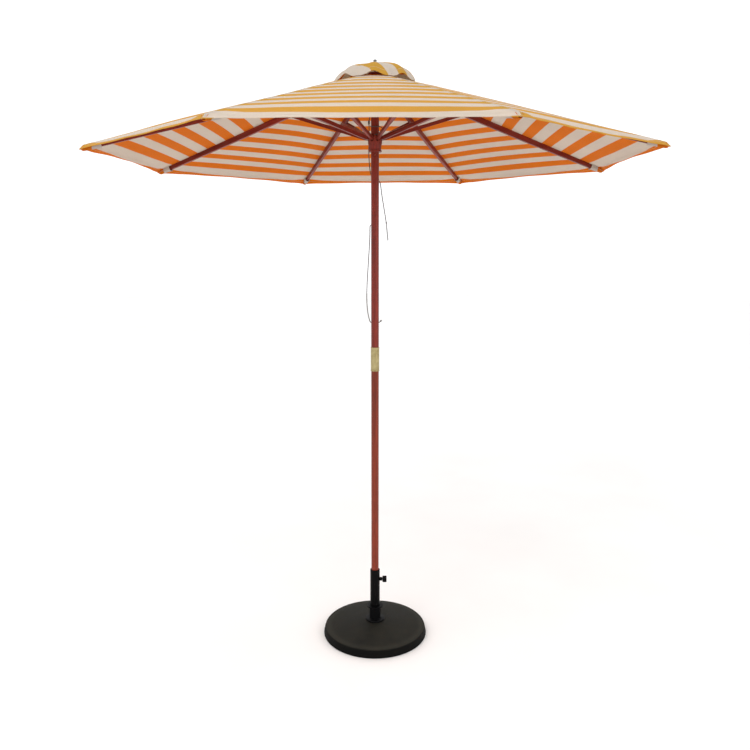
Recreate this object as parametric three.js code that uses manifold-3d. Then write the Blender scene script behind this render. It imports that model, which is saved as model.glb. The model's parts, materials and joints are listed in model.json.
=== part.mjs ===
// A two-part wooden garden parasol with an eight-sided striped canopy, a vent cap,
// a cord lift and a round weighted base. Millimetres, +Z up, origin on the floor
// under the middle of the base. It stands open, as it does in use.
import * as THREE from 'three';
import { mergeVertices } from 'three/addons/utils/BufferGeometryUtils.js';
import Module from 'manifold-3d';

const wasm = await Module();
wasm.setup();

// ---- driving dimensions ----------------------------------------------------
const GAP = 0.3;                    // clearance between touching pieces
const ARMS = 8;                     // ribs, struts and canopy gores
const ARM_STEP = (2 * Math.PI) / ARMS;
const FIRST_ARM = ARM_STEP / 2;     // a gore, not a rib, faces each axis

const BASE_R = 228;                 // foot of the base weight
const BASE_RIM_R = 220;
const BASE_RIM_H = 36;
const BASE_TOP_H = 60;
const POCKET_FLOOR = 14;            // solid floor under the pole
const COLLAR_R = 41.5;
const COLLAR_H = 7;
const SLEEVE_R = 25;
const SLEEVE_TOP = 128;
const SLEEVE_FLANGE_R = 35;
const TUBE_R = 21;
const TUBE_WALL = 2;
const TUBE_TOP = 292;
const LINER_LENGTH = 30;
const LINER_CAP_H = 3.4;

const POLE_R = 16;
const POLE_FOOT = POCKET_FLOOR + 0.6;
const JOINT_Z = 1232;               // where the two pole sections meet
const FERRULE_LOW = 1182;
const FERRULE_HIGH = 1283;
const FERRULE_R = 17.6;
const BEAD_R = 18.4;
const POLE_TOP = 2368;
const TIE_HOLE_HIGH = 1782;         // the tie cord's two holes through the pole
const TIE_HOLE_LOW = 1386;
const TIE_HOLE_R = 3.4;
const PIN_HOLE_Z = 2056;            // the locking pin goes here, under the runner
const STUD_R = 3;                   // the finial's stud, into the pole's top
const STUD_DEPTH = 12;

const LOCK_Z = 250;
const BOSS_R = 8;
const BOSS_REACH = 32;
const SCREW_R = 4;
const KNOB_R = 15;
const KNOB_THICK = 18;
const KNOB_X = 33;

// The fold: hub pivot, rib pin and runner pivot make an isosceles triangle, so the
// strut turns by exactly twice the rib's angle and the runner stays level.
const PIVOT_R = 23;
const HUB_Z = 2352;
const RUNNER_Z = 2116;
const PIN_R = 385;
const PIN_Z = (HUB_Z + RUNNER_Z) / 2;
const STRUT_LENGTH = Math.hypot(PIN_R - PIVOT_R, PIN_Z - RUNNER_Z);
const STRUT_SLOPE = Math.atan2(PIN_Z - RUNNER_Z, PIN_R - PIVOT_R);
const RIB_TIP_R = 1085;
const RIB_TIP_Z = 2034;
const RIB_LENGTH = Math.hypot(RIB_TIP_R - PIVOT_R, HUB_Z - RIB_TIP_Z);
const RIB_SLOPE = Math.atan2(HUB_Z - RIB_TIP_Z, RIB_TIP_R - PIVOT_R);
const RIB_WIDTH = 12;
const RIB_TOP = 8;                  // top edge above the rib's centre line
const RIB_UNDER = 14;               // underside below it at the deepest
const RIB_TIP_UNDER = 8;
const HEAD_R = 4.6;                 // rounded heads in the hub and the runner
const WIRE_R = 1.5;
const WIRE_HOLE_R = 1.9;
const STRUT_PIN_R = 2;
const STRUT_PIN_HOLE_R = 2.3;
const TONGUE_WIDTH = 10;
const FORK_WIDTH = 24;
const FORK_SLOT = 13;
const FORK_DEPTH = 125;
const STRUT_HALF = 7;

const CROWN_R = 28;                 // hub and runner, outside
const CROWN_BORE = POLE_R + GAP;
const SLOT_ROOT_R = 18;
const HUB_LOW = 2342;
const HUB_HIGH = 2366;
const RUNNER_LOW = 2068;
const RUNNER_HIGH = 2129;
const CORD_SLOT = 6;                // open groove for the cord down the runner

const PULLEY_Z = 2215;
const PULLEY_FLANGE_R = 20;
const PULLEY_GROOVE_R = 16.2;
const PULLEY_WIDTH = 9;
const AXLE_R = 2;
const CORD_R = 1.75;
const KNOT = [-24, 0, 2181];
const KNOT_R = 3.4;
const KNOT_HALF = 6;
const LOCKING_PIN_R = 2;
const LOCKING_PIN_LENGTH = 70;

const CANOPY_R = 1100;              // fabric corners
const CANOPY_HEM_Z = 2030;
const SHOULDER_R = 1000;            // the cloth turns down from here to its hem
const CANOPY_INNER_R = 95;
const CLOTH = 1;
const HEM_DIP = 25;                 // the hem bows in by this much mid-gore
const RIDGE_GAP = 2.8;              // cloth above the top edge of a rib
const CAP_R = 168;
const CAP_CORNER_Z = 2324;
const CAP_APEX_Z = 2404;
const CAP_HOLE_R = 4;
const CAP_ARCH = 18;                // how far the cap's hem lifts mid-gore

// The lift cord comes off the pulley to a knot on the left. One end loops across
// the pole to the runner, the other runs down to its free end and the locking pin.
// A second cord bows out lower down, between two holes in the pole.
const HOIST_ROUTE = [
  [-18.4, 0, 2217],
  [-18.6, 0, 2210],
  [-21, 0, 2200],
  [-23.2, 0, 2193],
  [-24, 0, KNOT[2] + KNOT_HALF + GAP],
];
const RUNNER_ROUTE = [
  [-19.6, -3.4, 2167],
  [-17, -10.5, 2164],
  [-9, -17.6, 2163],
  [2, -19.6, 2163],
  [14, -18.6, 2163],
  [24, -16, 2161],
  [30, -13.5, 2155],
  [29.5, -12.5, 2147],
  [24, -14, 2140],
  [17, -18, 2136],
  [8, -21.5, 2133],
  [-2, -23, 2131.5],
];
const PULL_ROUTE = [
  [-24, 0, KNOT[2] - KNOT_HALF - GAP],
  [-23.6, 0, 2150],
  [-23.4, 0, 2130],
  [-24, 0, 2100],
  [-25, 0, 2068],
  [-23.6, 1, 2035],
  [-21.4, 2.5, 2008],
  [-18.5, 7, 1988],
  [-12, 15.4, 1974],
  [-2, 19.6, 1966],
  [9, 18.4, 1960],
  [17.5, 11.5, 1954],
  [21.6, 6, 1944],
  [24.4, 4, 1925],
  [28.5, 2.4, 1895],
  [33.5, 1.4, 1865],
  [38.5, 0.7, 1835],
  [43, 0.3, 1808],
  [45.6, 0, 1791],
];
const TIE_ROUTE = [
  [-9, 0, TIE_HOLE_HIGH],
  [-16.4, 0, TIE_HOLE_HIGH],
  [-19.6, 0, 1779],
  [-20.6, 0, 1768],
  [-21, 0, 1745],
  [-22.4, 0, 1710],
  [-25.5, 0, 1660],
  [-29, 0, 1605],
  [-32.4, 0, 1550],
  [-34, 0, 1500],
  [-33.2, 0, 1462],
  [-30.4, 0, 1432],
  [-26, 0, 1408],
  [-21.6, 0, 1393],
  [-17.4, 0, 1386.8],
  [-8, 0, TIE_HOLE_LOW],
  [8, 0, TIE_HOLE_LOW],
  [16.6, 0, TIE_HOLE_LOW + 0.4],
  [22, -1, 1391],
  [27.5, -2, 1396],
];

// ---- materials -------------------------------------------------------------
function paint(color, roughness, metalness = 0) {
  return () => new THREE.MeshStandardMaterial({ color, roughness, metalness });
}
const WOOD = paint(0x80342c, 0.45);
const BRASS = paint(0xb8aa78, 0.3, 1);
const STEEL = paint(0xa8a8a8, 0.35, 1);
const RESIN = paint(0x1d1e1a, 0.5);
const BLACK_STEEL = paint(0x151515, 0.4, 0.4);
const BLACK_PLASTIC = paint(0x101010, 0.5);
const CORD = paint(0x2a1f1c, 0.9);
const CLOTH_MIX = paint(0xe0ac48, 0.85);

// ---- geometry helpers ------------------------------------------------------
function toSolid(geometry) {
  let bare = geometry.clone();
  bare.deleteAttribute('normal');
  bare.deleteAttribute('uv');
  bare = mergeVertices(bare, 1e-4);
  const vertProperties = new Float32Array(bare.attributes.position.array);
  const triVerts = new Uint32Array(bare.index.array);
  return new wasm.Manifold(new wasm.Mesh({ numProp: 3, vertProperties, triVerts }));
}

function toGeometry(solid) {
  const mesh = solid.getMesh();
  const geometry = new THREE.BufferGeometry();
  geometry.setAttribute('position', new THREE.BufferAttribute(mesh.vertProperties, 3));
  geometry.setIndex(new THREE.BufferAttribute(mesh.triVerts, 1));
  const flat = geometry.toNonIndexed();
  flat.computeVertexNormals();
  return flat;
}

function cut(geometry, ...tools) {
  let solid = toSolid(geometry);
  for (const tool of tools) {
    solid = solid.subtract(toSolid(tool));
  }
  return toGeometry(solid);
}

// A profile of [radius, height] points turned about Z.
function turned(profile, segments) {
  const points = profile.map(([r, z]) => new THREE.Vector2(r, z));
  return new THREE.LatheGeometry(points, segments).rotateX(Math.PI / 2);
}

// A ring-shaped profile, closed on itself.
function turnedRing(profile, segments) {
  return turned([...profile, profile[0]], segments);
}

function rod(radius, length, segments = 24) {
  return new THREE.CylinderGeometry(radius, radius, length, segments).rotateX(Math.PI / 2);
}

function rodAlongX(radius, fromX, toX, z, segments = 24) {
  const bar = new THREE.CylinderGeometry(radius, radius, toX - fromX, segments);
  return bar.rotateZ(Math.PI / 2).translate((fromX + toX) / 2, 0, z);
}

function rodAlongY(radius, length, x, z, segments = 16) {
  return new THREE.CylinderGeometry(radius, radius, length, segments).translate(x, 0, z);
}

function block(x0, x1, y0, y1, z0, z1) {
  const box = new THREE.BoxGeometry(x1 - x0, y1 - y0, z1 - z0);
  return box.translate((x0 + x1) / 2, (y0 + y1) / 2, (z0 + z1) / 2);
}

// A side outline in (length, height), given the width along Y.
function slab(outline, width) {
  const plate = new THREE.ExtrudeGeometry(outline, {
    depth: width,
    bevelEnabled: false,
    curveSegments: 4,
  });
  return plate.rotateX(Math.PI / 2).translate(0, width / 2, 0);
}

// A cord's tube through points chosen by hand.
function cordTube(points, radius, steps) {
  const path = new THREE.CatmullRomCurve3(
    points.map(([x, y, z]) => new THREE.Vector3(x, y, z)),
    false,
    'centripetal',
  );
  const section = new THREE.Shape();
  section.absarc(0, 0, radius, 0, 2 * Math.PI, false);
  return new THREE.ExtrudeGeometry(section, {
    steps,
    extrudePath: path,
    bevelEnabled: false,
    curveSegments: 4,
  });
}

// A cloth of constant thickness over a grid of top points, closed at its edges.
function clothSolid(grid, thickness) {
  const rows = grid.length;
  const columns = grid[0].length;
  const positions = [];
  for (const drop of [0, thickness]) {
    for (const row of grid) {
      for (const [x, y, z] of row) {
        positions.push(x, y, z - drop);
      }
    }
  }
  const at = (layer, i, j) => layer * rows * columns + i * columns + j;
  const index = [];
  const quad = (a, b, c, d) => index.push(a, b, c, a, c, d);
  for (let i = 0; i < rows - 1; i += 1) {
    for (let j = 0; j < columns - 1; j += 1) {
      quad(at(0, i, j), at(0, i + 1, j), at(0, i + 1, j + 1), at(0, i, j + 1));
      quad(at(1, i, j), at(1, i, j + 1), at(1, i + 1, j + 1), at(1, i + 1, j));
    }
  }
  for (let i = 0; i < rows - 1; i += 1) {
    quad(at(0, i, 0), at(1, i, 0), at(1, i + 1, 0), at(0, i + 1, 0));
    const j = columns - 1;
    quad(at(0, i, j), at(0, i + 1, j), at(1, i + 1, j), at(1, i, j));
  }
  for (let j = 0; j < columns - 1; j += 1) {
    quad(at(0, 0, j), at(0, 0, j + 1), at(1, 0, j + 1), at(1, 0, j));
    const i = rows - 1;
    quad(at(0, i, j), at(1, i, j), at(1, i, j + 1), at(0, i, j + 1));
  }
  const geometry = new THREE.BufferGeometry();
  geometry.setAttribute('position', new THREE.Float32BufferAttribute(positions, 3));
  geometry.setIndex(index);
  geometry.computeVertexNormals();
  return geometry;
}

const parasol = new THREE.Group();

function add(name, geometry, material, parent = parasol) {
  const mesh = new THREE.Mesh(geometry, material());
  mesh.name = name;
  parent.add(mesh);
  return mesh;
}

function armAngle(i) {
  return FIRST_ARM + i * ARM_STEP;
}

// ---- base ------------------------------------------------------------------
function addBase() {
  const socketBore = TUBE_R + GAP;
  add('base_weight', turned([
    [0, 0],
    [BASE_R - 4, 0],
    [BASE_R, 4],
    [BASE_RIM_R + 1, BASE_RIM_H - 3],
    [BASE_RIM_R - 3, BASE_RIM_H],
    [COLLAR_R + 2, BASE_TOP_H],
    [socketBore, BASE_TOP_H],
    [socketBore, POCKET_FLOOR],
    [0, POCKET_FLOOR],
  ], 48), RESIN);

  const collarFoot = BASE_TOP_H + GAP;
  const collarTop = collarFoot + COLLAR_H;
  add('base_socket', turnedRing([
    [socketBore, collarFoot],
    [COLLAR_R, collarFoot],
    [COLLAR_R, collarTop - 2],
    [COLLAR_R - 2, collarTop],
    [SLEEVE_R, collarTop + 1],
    [SLEEVE_R, SLEEVE_TOP - 9],
    [SLEEVE_FLANGE_R, SLEEVE_TOP - 6],
    [SLEEVE_FLANGE_R, SLEEVE_TOP],
    [socketBore, SLEEVE_TOP],
  ], 32), BLACK_PLASTIC);

  const tubeBore = TUBE_R - TUBE_WALL;
  const tube = turnedRing([
    [tubeBore, POCKET_FLOOR + GAP],
    [TUBE_R, POCKET_FLOOR + GAP],
    [TUBE_R, TUBE_TOP],
    [tubeBore, TUBE_TOP],
  ], 32);
  const screwHole = rodAlongX(SCREW_R + 0.4, 0, BOSS_REACH + 10, LOCK_Z);
  add('base_tube', cut(tube, screwHole), BLACK_STEEL);

  const boss = rodAlongX(BOSS_R, TUBE_R - 6, BOSS_REACH, LOCK_Z);
  const tubeOutside = rod(TUBE_R + GAP, 60, 32).translate(0, 0, LOCK_Z);
  add('lock_boss', cut(boss, tubeOutside, screwHole), BLACK_STEEL);

  const linerTop = TUBE_TOP + GAP + LINER_CAP_H;
  add('tube_liner', turnedRing([
    [POLE_R + 0.4, TUBE_TOP - LINER_LENGTH],
    [tubeBore - GAP, TUBE_TOP - LINER_LENGTH],
    [tubeBore - GAP, TUBE_TOP + GAP],
    [TUBE_R, TUBE_TOP + GAP],
    [TUBE_R, linerTop - 1],
    [TUBE_R - 1, linerTop],
    [POLE_R + 0.4, linerTop],
  ], 32), BLACK_PLASTIC);
}

function addLock() {
  const padStart = POLE_R + 0.4;
  const screwStart = padStart + 2.5;
  const screwEnd = KNOB_X + 12;
  add('lock_pad', rodAlongX(SCREW_R - 0.4, padStart, screwStart - GAP, LOCK_Z), STEEL);
  add('lock_screw', rodAlongX(SCREW_R, screwStart, screwEnd, LOCK_Z), STEEL);

  const lobes = 6;
  const outline = new THREE.Shape();
  const points = 48;
  for (let k = 0; k < points; k += 1) {
    const angle = (2 * Math.PI * k) / points;
    const radius = KNOB_R - 1.4 + 1.4 * Math.cos(lobes * angle);
    const x = radius * Math.cos(angle);
    const y = radius * Math.sin(angle);
    if (k === 0) {
      outline.moveTo(x, y);
    } else {
      outline.lineTo(x, y);
    }
  }
  const bevel = 1.5;
  const head = new THREE.ExtrudeGeometry(outline, {
    depth: KNOB_THICK - 2 * bevel,
    bevelThickness: bevel,
    bevelSize: bevel,
    bevelOffset: -bevel,
    bevelSegments: 1,
  });
  head.rotateY(Math.PI / 2).translate(KNOB_X + bevel, 0, LOCK_Z);
  const screwSeat = rodAlongX(SCREW_R + GAP, KNOB_X - 1, screwEnd + GAP, LOCK_Z);
  add('lock_knob', cut(head, screwSeat), BLACK_PLASTIC);
}

// ---- pole ------------------------------------------------------------------
function pole(low, high) {
  const chamfer = 1.5;
  return turned([
    [0, low],
    [POLE_R - chamfer, low],
    [POLE_R, low + chamfer],
    [POLE_R, high - chamfer],
    [POLE_R - chamfer, high],
    [0, high],
  ], 32);
}

function addPole() {
  add('pole_lower', pole(POLE_FOOT, JOINT_Z - 0.2), WOOD);
  const beadH = 4;
  const bore = POLE_R + GAP;
  add('pole_ferrule', turnedRing([
    [bore, FERRULE_LOW],
    [BEAD_R, FERRULE_LOW + 0.5],
    [BEAD_R, FERRULE_LOW + beadH],
    [FERRULE_R, FERRULE_LOW + beadH + 1],
    [FERRULE_R, FERRULE_HIGH - beadH - 1],
    [BEAD_R, FERRULE_HIGH - beadH],
    [BEAD_R, FERRULE_HIGH - 0.5],
    [bore, FERRULE_HIGH],
  ], 32), BRASS);

  const mortiseHalf = PULLEY_FLANGE_R + 2;
  const slotHalf = PULLEY_WIDTH / 2 + 2 * GAP;
  const through = POLE_R + 4;
  const mortise = block(
    -through, through, -slotHalf, slotHalf, PULLEY_Z - mortiseHalf, PULLEY_Z + mortiseHalf,
  );
  const studHole = rod(STUD_R + GAP, 2 * STUD_DEPTH, 16).translate(0, 0, POLE_TOP - GAP);
  add('pole_upper', cut(
    pole(JOINT_Z + 0.2, POLE_TOP),
    mortise,
    rodAlongY(AXLE_R + GAP, 2 * through, 0, PULLEY_Z),
    rodAlongY(LOCKING_PIN_R + 2 * GAP, 2 * through, 0, PIN_HOLE_Z),
    rodAlongX(TIE_HOLE_R, -through, through, TIE_HOLE_HIGH, 12),
    rodAlongX(TIE_HOLE_R, -through, through, TIE_HOLE_LOW, 12),
    studHole,
  ), WOOD);

  add('finial', turned([
    [0, POLE_TOP - STUD_DEPTH],
    [STUD_R, POLE_TOP - STUD_DEPTH],
    [STUD_R, CAP_APEX_Z + GAP],
    [9, CAP_APEX_Z + GAP],
    [9.5, CAP_APEX_Z + 2.5],
    [6, CAP_APEX_Z + 5],
    [6, CAP_APEX_Z + 7],
    [7.5, CAP_APEX_Z + 9],
    [5.5, CAP_APEX_Z + 11.5],
    [0, CAP_APEX_Z + 12.5],
  ], 16), STEEL);
}

function addPulley() {
  const half = PULLEY_WIDTH / 2;
  const bore = AXLE_R + 0.8;
  const wheel = turnedRing([
    [bore, -half],
    [PULLEY_FLANGE_R, -half],
    [PULLEY_FLANGE_R, -half + 1.4],
    [PULLEY_GROOVE_R, -2],
    [PULLEY_GROOVE_R, 2],
    [PULLEY_FLANGE_R, half - 1.4],
    [PULLEY_FLANGE_R, half],
    [bore, half],
  ], 32);
  wheel.rotateX(Math.PI / 2).translate(0, 0, PULLEY_Z);
  add('pulley_wheel', wheel, BLACK_PLASTIC);
  add('pulley_axle', rodAlongY(AXLE_R, 2 * POLE_R - 1, 0, PULLEY_Z), STEEL);
}

// ---- hub and runner --------------------------------------------------------
// A hinge wire bent round in eight straight runs, one through each arm's head.
function wireRing(radius, z) {
  const corner = PIVOT_R / Math.cos(ARM_STEP / 2);
  const section = [];
  const sides = 6;
  for (let k = 0; k < sides; k += 1) {
    const angle = (2 * Math.PI * k) / sides;
    section.push([corner + radius * Math.cos(angle), z + radius * Math.sin(angle)]);
  }
  return turnedRing(section, ARMS);
}

// Radial slots for the arms' heads, from the root out past the rim.
function armSlots(width, z0, z1) {
  const slots = [];
  for (let i = 0; i < ARMS; i += 1) {
    const slot = block(SLOT_ROOT_R, CROWN_R + 10, -width / 2, width / 2, z0, z1);
    slots.push(slot.rotateZ(armAngle(i)));
  }
  return slots;
}

function addHub() {
  const crown = turnedRing([
    [CROWN_BORE, HUB_LOW],
    [CROWN_R - 1.5, HUB_LOW],
    [CROWN_R, HUB_LOW + 1.5],
    [CROWN_R, HUB_HIGH - 2],
    [CROWN_R - 2, HUB_HIGH],
    [CROWN_BORE, HUB_HIGH],
  ], 32);
  const slotTop = HUB_HIGH - 6;
  const slots = armSlots(RIB_WIDTH + 0.8, HUB_LOW - 5, slotTop);
  add('hub', cut(crown, ...slots, wireRing(WIRE_R + GAP, HUB_Z)), WOOD);
  add('hub_wire', wireRing(WIRE_R, HUB_Z), STEEL);
}

function addRunner() {
  const crown = turnedRing([
    [CROWN_BORE, RUNNER_LOW],
    [CROWN_R - 1, RUNNER_LOW],
    [CROWN_R - 1, RUNNER_LOW + 5],
    [CROWN_R - 4, RUNNER_LOW + 6],
    [CROWN_R - 3, RUNNER_LOW + 22],
    [CROWN_R, RUNNER_LOW + 32],
    [CROWN_R, RUNNER_HIGH - 2],
    [CROWN_R - 2, RUNNER_HIGH],
    [CROWN_BORE, RUNNER_HIGH],
  ], 32);
  const slots = armSlots(TONGUE_WIDTH + 0.8, RUNNER_Z - 8, RUNNER_HIGH + 5);
  const cordSlot = block(
    -CROWN_R - 5, -POLE_R + 2, -CORD_SLOT / 2, CORD_SLOT / 2, RUNNER_LOW - 5, RUNNER_HIGH + 5,
  );
  const wireChannel = wireRing(WIRE_R + GAP, RUNNER_Z);
  add('runner', cut(crown, ...slots, wireChannel, cordSlot), WOOD);

  const wireGap = block(-CROWN_R - 5, -PIVOT_R + 4, -4, 4, RUNNER_Z - 5, RUNNER_Z + 5);
  add('runner_wire', cut(wireRing(WIRE_R, RUNNER_Z), wireGap), STEEL);
}

// ---- ribs, struts and their pins -------------------------------------------
function roundHole(x, z, radius) {
  const hole = new THREE.Path();
  hole.absarc(x, z, radius, 0, 2 * Math.PI, true);
  return hole;
}

function ribGeometry() {
  const side = new THREE.Shape();
  side.moveTo(0, -HEAD_R);
  side.lineTo(4, -HEAD_R);
  side.lineTo(90, -RIB_UNDER);
  side.lineTo(RIB_LENGTH * 0.6, -RIB_UNDER);
  side.lineTo(RIB_LENGTH - 3, -RIB_TIP_UNDER);
  side.lineTo(RIB_LENGTH, -RIB_TIP_UNDER + 3);
  side.lineTo(RIB_LENGTH, RIB_TOP - 3);
  side.lineTo(RIB_LENGTH - 3, RIB_TOP);
  side.lineTo(14, RIB_TOP);
  side.lineTo(0, HEAD_R);
  side.absarc(0, 0, HEAD_R, Math.PI / 2, 1.5 * Math.PI, false);
  side.holes.push(roundHole(0, 0, WIRE_HOLE_R));
  const along = PIN_R - PIVOT_R;
  const down = HUB_Z - PIN_Z;
  const pinX = along * Math.cos(RIB_SLOPE) + down * Math.sin(RIB_SLOPE);
  const pinZ = along * Math.sin(RIB_SLOPE) - down * Math.cos(RIB_SLOPE);
  side.holes.push(roundHole(pinX, pinZ, STRUT_PIN_HOLE_R));
  return slab(side, RIB_WIDTH);
}

function strutGeometry() {
  const side = new THREE.Shape();
  const end = STRUT_LENGTH;
  side.moveTo(0, -HEAD_R);
  side.lineTo(2, -HEAD_R);
  side.lineTo(22, -STRUT_HALF);
  side.lineTo(end, -STRUT_HALF);
  side.absarc(end, 0, STRUT_HALF, -Math.PI / 2, Math.PI / 2, false);
  side.lineTo(22, STRUT_HALF);
  side.lineTo(2, HEAD_R);
  side.lineTo(0, HEAD_R);
  side.absarc(0, 0, HEAD_R, Math.PI / 2, 1.5 * Math.PI, false);
  side.holes.push(roundHole(0, 0, WIRE_HOLE_R));
  side.holes.push(roundHole(end, 0, STRUT_PIN_HOLE_R));
  const blank = slab(side, FORK_WIDTH);

  // seen from above: a narrow tongue at the runner, widening to the fork
  const taperStart = 110;
  const taperEnd = end - FORK_DEPTH - 10;
  const trims = [1, -1].map((way) => {
    const waste = new THREE.Shape();
    waste.moveTo(-20, (way * TONGUE_WIDTH) / 2);
    waste.lineTo(taperStart, (way * TONGUE_WIDTH) / 2);
    waste.lineTo(taperEnd, (way * (FORK_WIDTH + 1)) / 2);
    waste.lineTo(taperEnd, way * FORK_WIDTH);
    waste.lineTo(-20, way * FORK_WIDTH);
    const depth = 4 * STRUT_HALF;
    const prism = new THREE.ExtrudeGeometry(waste, { depth, bevelEnabled: false });
    return prism.translate(0, 0, -depth / 2);
  });
  const fork = block(
    end - FORK_DEPTH, end + 20, -FORK_SLOT / 2, FORK_SLOT / 2, -STRUT_HALF - 5, STRUT_HALF + 5,
  );
  return cut(blank, ...trims, fork);
}

function addArms() {
  for (let i = 0; i < ARMS; i += 1) {
    const arm = new THREE.Group();
    arm.rotation.z = armAngle(i);
    parasol.add(arm);

    const rib = add(`rib_${i + 1}`, ribGeometry(), WOOD, arm);
    rib.position.set(PIVOT_R, 0, HUB_Z);
    rib.rotation.y = RIB_SLOPE;

    const strut = add(`strut_${i + 1}`, strutGeometry(), WOOD, arm);
    strut.position.set(PIVOT_R, 0, RUNNER_Z);
    strut.rotation.y = -STRUT_SLOPE;

    const pin = rodAlongY(STRUT_PIN_R, FORK_WIDTH + 1, 0, 0, 10);
    add(`strut_pin_${i + 1}`, pin, BRASS, arm).position.set(PIN_R, 0, PIN_Z);

    add(`canopy_${i + 1}`, canopyGeometry(), CLOTH_MIX, arm);
  }
}

// ---- cloth -----------------------------------------------------------------
// One eighth of the canopy, from mid-gore to mid-gore, with a rib under its middle.
// Each half is flat from the middle out to the shoulder, then turns down to the hem,
// except over the rib itself, which holds it up to its tip.
function canopyGeometry() {
  const ridge = (RIB_TOP + RIDGE_GAP) / Math.cos(RIB_SLOPE) + CLOTH;
  const heightOver = (r) => HUB_Z + ridge - (r - PIVOT_R) * Math.tan(RIB_SLOPE);
  const half = ARM_STEP / 2;
  const halfSteps = 4;
  const grid = [CANOPY_INNER_R, SHOULDER_R, RIB_TIP_R + 1, CANOPY_R].map((radius) => {
    const row = [];
    for (let j = -halfSteps; j <= halfSteps; j += 1) {
      const side = j < 0 ? -1 : 1;
      const share = Math.abs(j) / halfSteps;    // 0 on the rib, 1 at mid-gore
      const inPlan = radius * Math.cos(half);
      const overHem = Math.max(0, (radius - SHOULDER_R) / (CANOPY_R - SHOULDER_R));
      const out = inPlan - overHem * HEM_DIP * Math.sin((Math.PI / 2) * share);
      const across = inPlan * Math.tan(half) * (1 - share);
      const x = out * Math.cos(half) + across * Math.sin(half);
      const y = side * (out * Math.sin(half) - across * Math.cos(half));
      const flat = heightOver(out / Math.cos(half));
      const turned = heightOver(SHOULDER_R) * (1 - overHem) + CANOPY_HEM_Z * overHem;
      const onRib = share === 0 && radius < CANOPY_R;
      row.push([x, y, onRib || overHem === 0 ? flat : turned]);
    }
    return row;
  });
  return clothSolid(trimToGap(grid), CLOTH);
}

// Pulls the two mid-gore edges in, so neighbouring gores stay clear of each other.
function trimToGap(grid) {
  const half = ARM_STEP / 2;
  return grid.map((row) => row.map(([x, y, z], j) => {
    const edge = j === 0 || j === row.length - 1;
    const side = Math.sign(y);
    const shift = edge ? GAP / 2 : 0;
    return [x + shift * Math.sin(half), y - side * shift * Math.cos(half), z];
  }));
}

function addVentCap() {
  const rings = 4;
  const perGore = 4;
  const rows = [];
  for (let i = 0; i <= rings; i += 1) {
    const out = i / rings;
    const radius = CAP_HOLE_R + (CAP_R - CAP_HOLE_R) * out;
    const row = [];
    for (let k = 0; k <= ARMS * perGore; k += 1) {
      const angle = FIRST_ARM + (k * ARM_STEP) / perGore;
      const inGore = ((k % perGore) / perGore) * ARM_STEP - ARM_STEP / 2;
      const straight = Math.cos(ARM_STEP / 2) / Math.cos(inGore);
      const arch = Math.cos((Math.PI * inGore) / ARM_STEP) * CAP_ARCH * out ** 2;
      const r = radius * (1 + (straight - 1) * out);
      const z = CAP_APEX_Z + (CAP_CORNER_Z - CAP_APEX_Z) * out ** 2 + arch;
      row.push([r * Math.cos(angle), r * Math.sin(angle), z]);
    }
    rows.push(row);
  }
  add('vent_cap', ringSolid(rows, CLOTH), CLOTH_MIX);
}

// Like clothSolid, but the grid runs all the way round and closes on itself.
function ringSolid(rows, thickness) {
  const columns = rows[0].length - 1;
  const count = rows.length;
  const positions = [];
  for (const drop of [0, thickness]) {
    for (const row of rows) {
      for (const [x, y, z] of row.slice(0, columns)) {
        positions.push(x, y, z - drop);
      }
    }
  }
  const at = (layer, i, j) => layer * count * columns + i * columns + (j % columns);
  const index = [];
  const quad = (a, b, c, d) => index.push(a, b, c, a, c, d);
  for (let j = 0; j < columns; j += 1) {
    for (let i = 0; i < count - 1; i += 1) {
      quad(at(0, i, j), at(0, i + 1, j), at(0, i + 1, j + 1), at(0, i, j + 1));
      quad(at(1, i, j), at(1, i, j + 1), at(1, i + 1, j + 1), at(1, i + 1, j));
    }
    quad(at(0, 0, j), at(0, 0, j + 1), at(1, 0, j + 1), at(1, 0, j));
    const i = count - 1;
    quad(at(0, i, j), at(1, i, j), at(1, i, j + 1), at(0, i, j + 1));
  }
  const geometry = new THREE.BufferGeometry();
  geometry.setAttribute('position', new THREE.Float32BufferAttribute(positions, 3));
  geometry.setIndex(index);
  geometry.computeVertexNormals();
  return geometry;
}

// ---- cords -----------------------------------------------------------------
function addCords() {
  add('hoist_cord', cordTube(HOIST_ROUTE, CORD_R, 8), CORD);
  add('runner_cord', cordTube(RUNNER_ROUTE, CORD_R, 24), CORD);
  add('pull_cord', cordTube(PULL_ROUTE, CORD_R, 52), CORD);
  add('tie_cord', cordTube(TIE_ROUTE, CORD_R, 56), CORD);

  const knot = new THREE.SphereGeometry(1, 12, 8);
  knot.scale(KNOT_R, KNOT_R, KNOT_HALF).translate(...KNOT);
  add('cord_knot', knot, CORD);

  const hang = new THREE.Vector3(7, 0, -LOCKING_PIN_LENGTH).normalize();
  const [x, y, z] = PULL_ROUTE[PULL_ROUTE.length - 1];
  const shank = [LOCKING_PIN_R, LOCKING_PIN_R, LOCKING_PIN_LENGTH, 12];
  const pin = new THREE.CylinderGeometry(...shank);
  pin.translate(0, LOCKING_PIN_LENGTH / 2 + 1, 0);
  const turn = new THREE.Quaternion().setFromUnitVectors(new THREE.Vector3(0, 1, 0), hang);
  add('locking_pin', pin.applyQuaternion(turn).translate(x, y, z), STEEL);
}

addBase();
addLock();
addPole();
addPulley();
addHub();
addRunner();
addArms();
addVentCap();
addCords();

export default parasol;
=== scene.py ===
"""The looks of a wooden garden parasol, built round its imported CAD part. Metres, +Z up."""

import json
import math

import bpy
from mathutils import Matrix, Vector


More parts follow.
